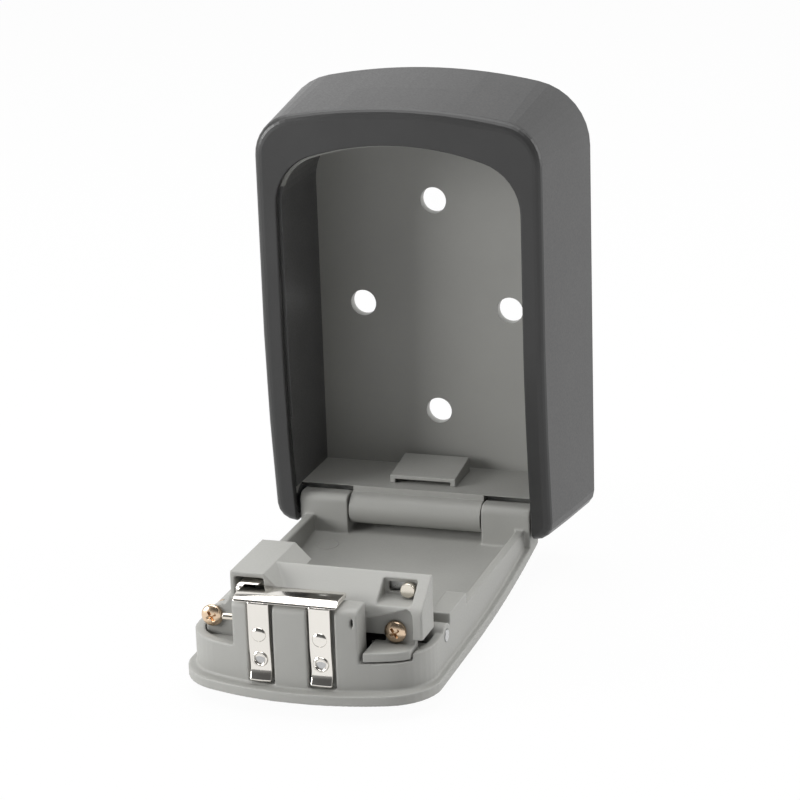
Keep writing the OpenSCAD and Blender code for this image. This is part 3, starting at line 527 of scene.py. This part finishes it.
def soften_edges(obj, width):
    """Merges flat facets, then rounds the sharp edges as a cast or pressed piece has them."""
    weld = obj.modifiers.new("weld", "WELD")
    weld.merge_threshold = WELD_GAP
    flat = obj.modifiers.new("flat", "DECIMATE")
    flat.decimate_type = "DISSOLVE"
    flat.angle_limit = math.radians(FLAT_ANGLE)
    round_edges(obj, width, EDGE_SEGMENTS, EDGE_ANGLE)
    even = obj.modifiers.new("tidy", "WEIGHTED_NORMAL")
    even.keep_sharp = True


def cast_edges(obj, voxel):
    """Rounds every edge as a die casting has it: a fine remesh, then a few smoothing passes."""
    mesh = obj.modifiers.new("remesh", "REMESH")
    mesh.mode = "VOXEL"
    mesh.voxel_size = voxel
    mesh.use_smooth_shade = True
    ease = obj.modifiers.new("ease", "SMOOTH")
    ease.factor = CAST_EASE
    ease.iterations = CAST_PASSES
    thin = obj.modifiers.new("thin", "DECIMATE")
    thin.ratio = CAST_KEEP


def dress_nodes(materials):
    """Gives every carried-over node its finish and its rounded edges."""
    slots = {row["node"]: row["material_slot"] for row in frame["record"]["subparts"]}
    for name, obj in frame["nodes"].items():
        obj.data.materials.clear()
        obj.data.materials.append(materials[NODE_FINISH.get(name, slots[name])])
        if name in CAST_VOXEL:
            cast_edges(obj, CAST_VOXEL[name])
        else:
            soften_edges(obj, EDGE_WIDTH.get(name, EDGE_WIDTH_PLAIN))


def new_piece(name, mesh_edit, material, body, smooth=True):
    """Makes a piece from a bmesh, riding on a body."""
    bmesh.ops.recalc_face_normals(mesh_edit, faces=mesh_edit.faces)
    mesh = bpy.data.meshes.new(name)
    mesh_edit.to_mesh(mesh)
    mesh_edit.free()
    mesh.polygons.foreach_set("use_smooth", [smooth]*len(mesh.polygons))
    mesh.materials.append(material)
    piece = add_object(name, mesh)
    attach(piece, body)
    return piece


def skin_rings(mesh_edit, rings):
    """Joins closed rings of points into a tube with capped ends."""
    loops = [[mesh_edit.verts.new(p) for p in ring] for ring in rings]
    count = len(loops[0])
    for first, second in zip(loops, loops[1:]):
        for i in range(count):
            j = (i + 1) % count
            mesh_edit.faces.new((first[i], first[j], second[j], second[i]))
    mesh_edit.faces.new(loops[0])
    mesh_edit.faces.new(list(reversed(loops[-1])))


def spin(mesh_edit, profile, place):
    """Turns a profile of (radius, height) about an axis; place(u, v, height) is the point."""
    rings = []
    for i in range(SPIN_STEPS):
        a = 2*math.pi*i/SPIN_STEPS
        rings.append([mesh_edit.verts.new(place(r*math.cos(a), r*math.sin(a), t))
                      for r, t in profile])
    for i in range(SPIN_STEPS):
        first, second = rings[i], rings[(i + 1) % SPIN_STEPS]
        for k in range(len(profile) - 1):
            mesh_edit.faces.new((first[k], second[k], second[k + 1], first[k + 1]))
    return rings


def spin_closed(mesh_edit, profile, place):
    """Turns a profile and closes both its ends."""
    rings = spin(mesh_edit, profile, place)
    mesh_edit.faces.new([ring[0] for ring in rings])
    mesh_edit.faces.new([ring[-1] for ring in reversed(rings)])


def crown_angles(start):
    """Angles over a crown from near its middle, start degrees off it, out to its rim."""
    return [math.radians(start + (90 - start)*i/DOME_STEPS) for i in range(DOME_STEPS + 1)]


def rounded_strip(half_w, half_t, crown, corner):
    """Cross-section of a pressed strip: rounded corners and a slightly crowned outer side."""
    points = []
    for sx, sn, start in ((1, 1, 0), (-1, 1, 90), (-1, -1, 180), (1, -1, 270)):
        for i in range(CORNER_POINTS):
            a = math.radians(start + 90*i/(CORNER_POINTS - 1))
            points.append((sx*(half_w - corner) + corner*math.cos(a),
                           sn*(half_t - corner) + corner*math.sin(a)))
    swell = []
    for i, (x, n) in enumerate(points):
        swell.append((x, n))
        if i in (CORNER_POINTS - 1, 3*CORNER_POINTS - 1):
            far_x = points[i + 1][0]
            for k in range(1, CROWN_STEPS):
                t = k/CROWN_STEPS
                lift = crown*math.sin(math.pi*t) if n > 0 else 0.0
                swell.append((x + (far_x - x)*t, n + lift))
    return swell


def leg_offset(h):
    """How far a leg's face is from its plane: bowed in under the bend, flared out at its lip."""
    if h > LEG_BOW_TOP_H:
        return 0.0
    if h > LEG_FLARE_H:
        t = (LEG_BOW_TOP_H - h)/(LEG_BOW_TOP_H - LEG_FLARE_H)
        return -LEG_BOW*t*t*(3 - 2*t)
    t = (LEG_FLARE_H - h)/(LEG_FLARE_H - LEG_LOW_H)
    return -LEG_BOW + (LEG_BOW + LEG_LIP)*t**LEG_FLARE_POWER


def crest_points():
    """Top of the bar from the flat back down to its steep front, as (s, h)."""
    turn = math.radians(BAR_TURN)
    top = PLATE_H + LATCH_T
    start_s = LEG_S - NOSE_R*(1 - math.sin(turn)) - BAR_R*math.sin(turn)
    steps = [turn*i/BAR_STEPS for i in range(BAR_STEPS + 1)]
    return [(start_s + BAR_R*math.sin(a), top - BAR_R*(1 - math.cos(a))) for a in steps]


def leg_sides():
    """Outer and inner points of a leg, from the bar round the bend to its free end."""
    crest = crest_points()
    turn = math.radians(BAR_TURN)
    root_s, first_s = BLOCK_S + LEG_ROOT, crest[0][0]
    nose_s, nose_h = LEG_S - NOSE_R, crest[-1][1] - NOSE_R*math.cos(turn)
    angles = [turn + (math.pi/2 - turn)*i/NOSE_STEPS for i in range(1, NOSE_STEPS + 1)]
    nose = [(nose_s + NOSE_R*math.sin(a), nose_h + NOSE_R*math.cos(a)) for a in angles]
    sunk = [(s, h - LEG_SINK) for s, h in crest]
    outer = [(root_s, PLATE_H + LATCH_T - LEG_SINK)] + sunk + nose
    back_s = LEG_S - LATCH_T
    bend_s, bend_h = back_s - LEG_BEND_R, PLATE_H - LEG_BEND_R
    inner = [(root_s, PLATE_H)]
    for i in range(len(crest)):
        inner.append((first_s + (bend_s - first_s)*i/(len(crest) - 1), PLATE_H))
    for i in range(1, NOSE_STEPS + 1):
        a = math.radians(90*i/NOSE_STEPS)
        inner.append((bend_s + LEG_BEND_R*math.sin(a), bend_h + LEG_BEND_R*math.cos(a)))
    low_start = min(outer[-1][1], inner[-1][1]) - LEG_BEND_DROP
    for i in range(LEG_STEPS + 1):
        h = low_start + (LEG_LOW_H - low_start)*i/LEG_STEPS
        outer.append((LEG_S + leg_offset(h), h))
        inner.append((back_s + leg_offset(h), h))
    return list(zip(outer, inner))


def leg_rings(section, x_mid):
    """Rings of a leg: the strip's cross-section between its outer and inner points."""
    rings = []
    for (s_out, h_out), (s_in, h_in) in leg_sides():
        ring = []
        for x, n in section:
            t = 0.5 + n/LATCH_T
            ring.append(door_point(x_mid + x, s_in + (s_out - s_in)*t, h_in + (h_out - h_in)*t))
        rings.append(ring)
    return rings


def pull_in(value, middle, amount):
    """Moves a value towards a middle, but not past it."""
    gap = value - middle
    return value - math.copysign(min(amount, abs(gap)), gap)


def bar_rings():
    """Rings of the latch's bar, with eased edges and ends, from left to right."""
    top = PLATE_H + LATCH_T
    crest = crest_points()
    end_s, end_h = crest[-1]
    outline = [(BLOCK_S + BAR_UNDER_EASE, PLATE_H), (BLOCK_S, PLATE_H + BAR_UNDER_EASE),
               (BLOCK_S, top - BAR_TOP_EASE), (BLOCK_S + BAR_TOP_MID, top - BAR_TOP_MID),
               (BLOCK_S + BAR_TOP_EASE, top)]
    outline += crest
    outline += [(end_s + BAR_NOSE_OUT, end_h - BAR_NOSE_DROP), (end_s + BAR_FOOT_OUT, PLATE_H)]
    mid_s, mid_h = (BLOCK_S + LEG_S)/2, PLATE_H + LATCH_T/2
    left, right = BAR_X
    ends = [(left + gap, inset) for gap, inset in BAR_END]
    ends += [(right - gap, inset) for gap, inset in reversed(BAR_END)]
    return [[door_point(x, pull_in(s, mid_s, inset), pull_in(h, mid_h, inset))
             for s, h in outline] for x, inset in ends]


def tongue_rings():
    """Rings of the latch's tongue, from its free end into the bar."""
    section = rounded_strip((TONGUE_X[1] - TONGUE_X[0])/2, LATCH_T/2, 0.0, TONGUE_CORNER)
    mid_x, mid_h = sum(TONGUE_X)/2, PLATE_H + LATCH_T/2
    return [[door_point(mid_x + x, s, mid_h + n) for x, n in section]
            for s in (TONGUE_S, BLOCK_S + TONGUE_LAP)]


def add_latch(materials):
    """Bright latch plate with crowned legs, a rounded bar and its tongue."""
    edit = bmesh.new()
    section = rounded_strip(LEG_W/2, LATCH_T/2 - LEG_CROWN/2, LEG_CROWN, LEG_CORNER)
    for x in LEG_X:
        skin_rings(edit, leg_rings(section, x))
    skin_rings(edit, bar_rings())
    skin_rings(edit, tongue_rings())
    piece = new_piece("latch_dressed", edit, materials["chrome"], "latch")
    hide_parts("latch_plate")


def leg_place(x, h):
    """Where a turned point goes on the outer face of a leg."""
    face_s = LEG_S + leg_offset(h)
    return lambda u, v, t: door_point(x + u, face_s + t, h + v)


def add_rivets(materials):
    """Domed rivet heads and rolled eyelets on the legs, and the cores of the eyelets."""
    dome = [(RIVET_R*math.sin(a), RIVET_T*math.cos(a)) for a in crown_angles(RIVET_START)]
    dome.append((RIVET_R, 0.0))
    mid_r, half = (EYELET_R + EYELET_HOLE_R)/2, (EYELET_R - EYELET_HOLE_R)/2
    angles = [math.pi*i/EYELET_STEPS for i in range(EYELET_STEPS + 1)]
    rolled = [(mid_r + half*math.cos(a), RIVET_T*math.sin(a)) for a in angles]
    rolled += [(mid_r, 0.0), rolled[0]]
    cup = [(EYELET_HOLE_R*f, CORE_RISE - CORE_FALL*f*f) for f in CORE_RINGS]
    cup.append((EYELET_HOLE_R, -CORE_DEPTH))
    heads, cores = bmesh.new(), bmesh.new()
    for x in LEG_X:
        spin_closed(heads, dome, leg_place(x, RIVET_H))
        spin(heads, rolled, leg_place(x, EYELET_H))
        spin_closed(cores, cup, leg_place(x, EYELET_H))
    bmesh.ops.remove_doubles(heads, verts=heads.verts, dist=RIVET_MERGE)
    piece = new_piece("rivets_dressed", heads, materials["chrome"], "latch")
    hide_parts("latch_rivets")
    piece = new_piece("rivet_cores", cores, materials["steel"], "latch")
    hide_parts("latch_rivets")


def screw_mesh(x):
    """Pan head with its shank, closed, as a bmesh."""
    edit = bmesh.new()
    profile = [(SCREW_HEAD_R*math.sin(a),
                SCREW_HEAD_T*(SCREW_RIM + (1 - SCREW_RIM)*math.cos(a)))
               for a in crown_angles(SCREW_START)]
    profile += [(SCREW_HEAD_R - SCREW_UNDERCUT, 0.0), (SCREW_R, 0.0), (SCREW_R, -SCREW_LEN)]
    spin_closed(edit, profile,
                lambda u, v, t: door_point(x + u, SCREW_SEAT_S + t, SCREW_H + v))
    return edit


def cross_mesh(x, turn):
    """Tapered cross of a driver's tip, as a bmesh."""
    edit = bmesh.new()
    for k in (0, 90):
        a = math.radians(turn + k)
        across = Vector((math.cos(a), math.sin(a)))
        up = Vector((-math.sin(a), math.cos(a)))
        rings = []
        for t, half_len, half_w in SCREW_CROSS:
            corners = [across*half_len*i + up*half_w*j
                       for i, j in ((1, 1), (-1, 1), (-1, -1), (1, -1))]
            rings.append([door_point(x + c[0], SCREW_SEAT_S + t, SCREW_H + c[1])
                          for c in corners])
        skin_rings(edit, rings)
    bmesh.ops.recalc_face_normals(edit, faces=edit.faces)
    return edit


def add_screws(materials):
    """Brass pan-head screws with a cross recess."""
    for name, x, turn in zip(("left", "right"), SCREW_X, SCREW_TURN):
        screw = new_piece("screw_" + name, screw_mesh(x), materials["brass"], "door")
        cut_mesh = bpy.data.meshes.new("driver_cut")
        cut_edit = cross_mesh(x, turn)
        cut_edit.to_mesh(cut_mesh)
        cut_edit.free()
        cutter = add_object("driver_cut", cut_mesh)
        cut = screw.modifiers.new("recess", "BOOLEAN")
        cut.operation = "DIFFERENCE"
        cut.solver = "EXACT"
        cut.use_self = True
        cut.object = cutter
        done = evaluated_mesh(screw)
        screw.modifiers.clear()
        screw.data = done
        bpy.data.objects.remove(cutter)
        round_edges(screw, SCREW_EDGE, SCREW_EDGE_SEGMENTS, SCREW_EDGE_ANGLE)
        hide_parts("cover_screws")


def add_ejector_mark(materials):
    """The faint round mark of an ejector pin on the tray floor."""
    edit = bmesh.new()
    profile = [(MARK_R + gap, t) for gap, t in MARK_RING]
    spin(edit, profile + profile[:1],
         lambda u, v, t: door_point(MARK_X + u, MARK_S + v, MARK_H + t + MARK_SLOPE*v))
    bmesh.ops.remove_doubles(edit, verts=edit.verts, dist=MARK_MERGE)
    new_piece("ejector_mark", edit, materials["zinc_light"], "door")


def digit_mesh(digit):
    """One digit as a flat raised bmesh, cut into bands so that it can follow a dial."""
    curve = bpy.data.curves.new("digit_outline", "FONT")
    curve.body = str(digit)
    curve.size = DIGIT_SIZE
    curve.align_x = "CENTER"
    curve.align_y = "CENTER"
    curve.resolution_u = DIGIT_CURVE_STEPS
    holder = add_object("digit_outline", curve)
    flat = evaluated_mesh(holder)
    bpy.data.objects.remove(holder)
    bpy.data.curves.remove(curve)
    edit = bmesh.new()
    edit.from_mesh(flat)
    bpy.data.meshes.remove(flat)
    bmesh.ops.remove_doubles(edit, verts=edit.verts, dist=DIGIT_MERGE)
    for i in range(1, DIGIT_BANDS):
        cut = (i/DIGIT_BANDS - 0.5)*DIGIT_SIZE
        bmesh.ops.bisect_plane(edit, geom=edit.verts[:] + edit.edges[:] + edit.faces[:],
                               plane_co=(0, cut, 0), plane_no=(0, 1, 0))
    bmesh.ops.remove_doubles(edit, verts=edit.verts, dist=DIGIT_BAND_MERGE)
    bmesh.ops.dissolve_degenerate(edit, edges=edit.edges, dist=DIGIT_SLIVER)
    grown = bmesh.ops.extrude_face_region(edit, geom=edit.faces[:] + edit.edges[:],
                                          use_keep_orig=True)
    for part in grown["geom"]:
        if isinstance(part, bmesh.types.BMVert):
            part.co.z += DIGIT_DEPTH
    return edit


def add_digits(materials):
    """White numbers round each dial, one between each two grip notches."""
    for k in range(DIAL_COUNT):
        x_mid = DIAL_LEFT + DIAL_PITCH*k + DIAL_W/2
        whole = bmesh.new()
        for digit in range(DIGIT_COUNT):
            edit = digit_mesh(digit)
            middle = math.radians(DIGIT_START + 360/DIGIT_COUNT*digit)
            for vert in edit.verts:
                u, v, lift = vert.co
                r = DIAL_R + DIGIT_PROUD - DIGIT_DEPTH + lift
                a = middle + v/DIAL_R
                vert.co = door_point(x_mid + u, AXLE_S + r*math.sin(a), AXLE_H - r*math.cos(a))
            part = bpy.data.meshes.new("digit_part")
            edit.to_mesh(part)
            edit.free()
            whole.from_mesh(part)
            bpy.data.meshes.remove(part)
        new_piece("digits_%d" % (k + 1), whole, materials["digit_paint"],
                  "dial_%d" % (k + 1), smooth=False)


add_camera()
add_studio()
finishes = add_materials()
dress_nodes(finishes)
add_latch(finishes)
add_rivets(finishes)
add_screws(finishes)
add_ejector_mark(finishes)
add_digits(finishes)
